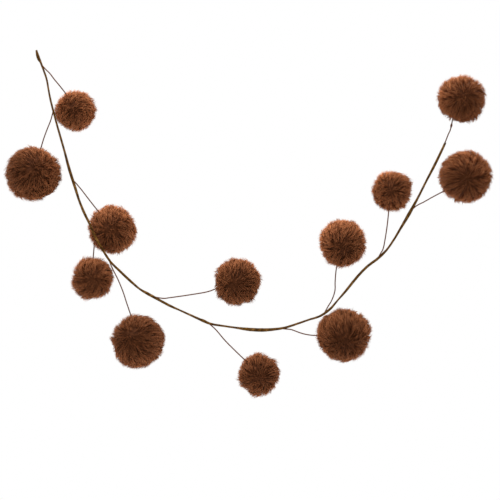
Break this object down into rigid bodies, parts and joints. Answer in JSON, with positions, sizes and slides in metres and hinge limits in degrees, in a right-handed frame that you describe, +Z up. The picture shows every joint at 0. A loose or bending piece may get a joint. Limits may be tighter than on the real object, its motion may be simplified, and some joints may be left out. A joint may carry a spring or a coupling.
{
  "type": "faux fur pompom garland",
  "caption": "Hanging garland: a tape-wrapped wire stem in a swag, with round faux fur pompoms on thin branch wires.",
  "frame": {"origin": "upper left end of the stem, the end by which the garland hangs", "axes": "+X along the swag from the left end to the right end, +Y away from the viewer, towards whatever the garland hangs against, +Z up"},
  "size_m": [0.8749, 0.1401, 0.625],
  "materials": {
    "stem_tape": "matt brown paper floral tape wound over wire",
    "branch_wire": "thin wire with a dull dark brown covering",
    "fur": "dense rust brown faux fur with paler tips"
  },
  "bodies": {
    "root": {"stem": "stem_tape", "wire_01": "branch_wire", "wire_02": "branch_wire", "wire_03": "branch_wire", "wire_04": "branch_wire", "wire_05": "branch_wire", "wire_06": "branch_wire", "wire_07": "branch_wire", "wire_08": "branch_wire", "wire_09": "branch_wire", "wire_10": "branch_wire", "wire_11": "branch_wire", "wire_12": "branch_wire", "pompom_01": "fur", "pompom_02": "fur", "pompom_03": "fur", "pompom_04": "fur", "pompom_05": "fur", "pompom_06": "fur", "pompom_07": "fur", "pompom_08": "fur", "pompom_09": "fur", "pompom_10": "fur", "pompom_11": "fur", "pompom_12": "fur"}
  },
  "joints": []
}
